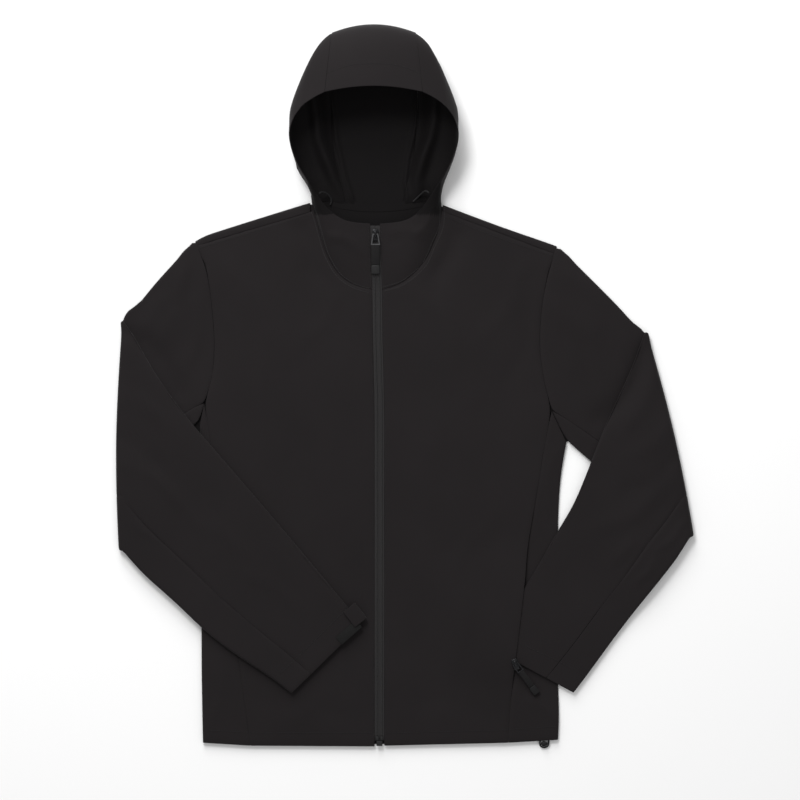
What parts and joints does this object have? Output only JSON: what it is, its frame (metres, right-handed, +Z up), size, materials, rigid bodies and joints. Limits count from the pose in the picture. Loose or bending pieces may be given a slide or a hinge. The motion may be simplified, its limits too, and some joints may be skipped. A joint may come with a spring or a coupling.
{
  "type": "softshell jacket",
  "caption": "Hooded softshell jacket with a full front zip, laid flat on its back, both sleeves folded at the elbow, the left cuff tucked into the hand pocket.",
  "frame": {"origin": "middle of the underside of the whole jacket as it lies, hood included", "axes": "+Z up out of the front, +Y from the hem to the hood, +X towards the wearer's left"},
  "size_m": [0.7862, 0.9824, 0.073],
  "materials": {
    "softshell": "matt bonded softshell cloth, black",
    "zip_cloth": "woven zip tape, near black",
    "zip_metal": "dark grey metal, half gloss",
    "moulded": "moulded plastic, near black",
    "cuff_patch": "fuzzy hook-and-loop patch, black",
    "elastic_cord": "braided elastic cord, dark grey"
  },
  "bodies": {
    "jacket": {"back_panel": "softshell", "front_right": "softshell", "front_left": "softshell", "side_right": "softshell", "side_left": "softshell", "sleeve_right_top": "softshell", "sleeve_right_under": "softshell", "sleeve_left_top": "softshell", "sleeve_left_under": "softshell", "hood_side_right": "softshell", "hood_centre": "softshell", "hood_side_left": "softshell", "zip_slider": "zip_metal", "pocket_slider": "zip_metal", "zip_tape_right": "zip_cloth", "zip_tape_left": "zip_cloth", "zip_stop_right": "moulded", "zip_stop_left": "moulded", "zip_box": "moulded", "cuff_patch_right": "cuff_patch", "cuff_tab_right": "softshell", "hem_cord": "elastic_cord", "hem_lock": "moulded", "hood_cord_left": "elastic_cord", "hood_cord_right": "elastic_cord"},
    "front_pull": {"zip_pull_bail": "zip_metal", "zip_pull_tape": "zip_cloth", "zip_pull_end": "moulded"},
    "pocket_pull": {"pocket_pull_bail": "zip_metal", "pocket_pull_tape": "zip_cloth", "pocket_pull_end": "moulded"}
  },
  "joints": [
    {"name": "front_pull_hinge", "type": "hinge", "parent": "jacket", "child": "front_pull", "pos_m": [-0.03979, 0.20575, 0.0168], "axis": [-1, 0, 0], "range_deg": [0, 150]},
    {"name": "pocket_pull_hinge", "type": "hinge", "parent": "jacket", "child": "pocket_pull", "pos_m": [0.15011, -0.37725, 0.0133], "axis": [-0.809, -0.5878, 0], "range_deg": [0, 150]}
  ]
}
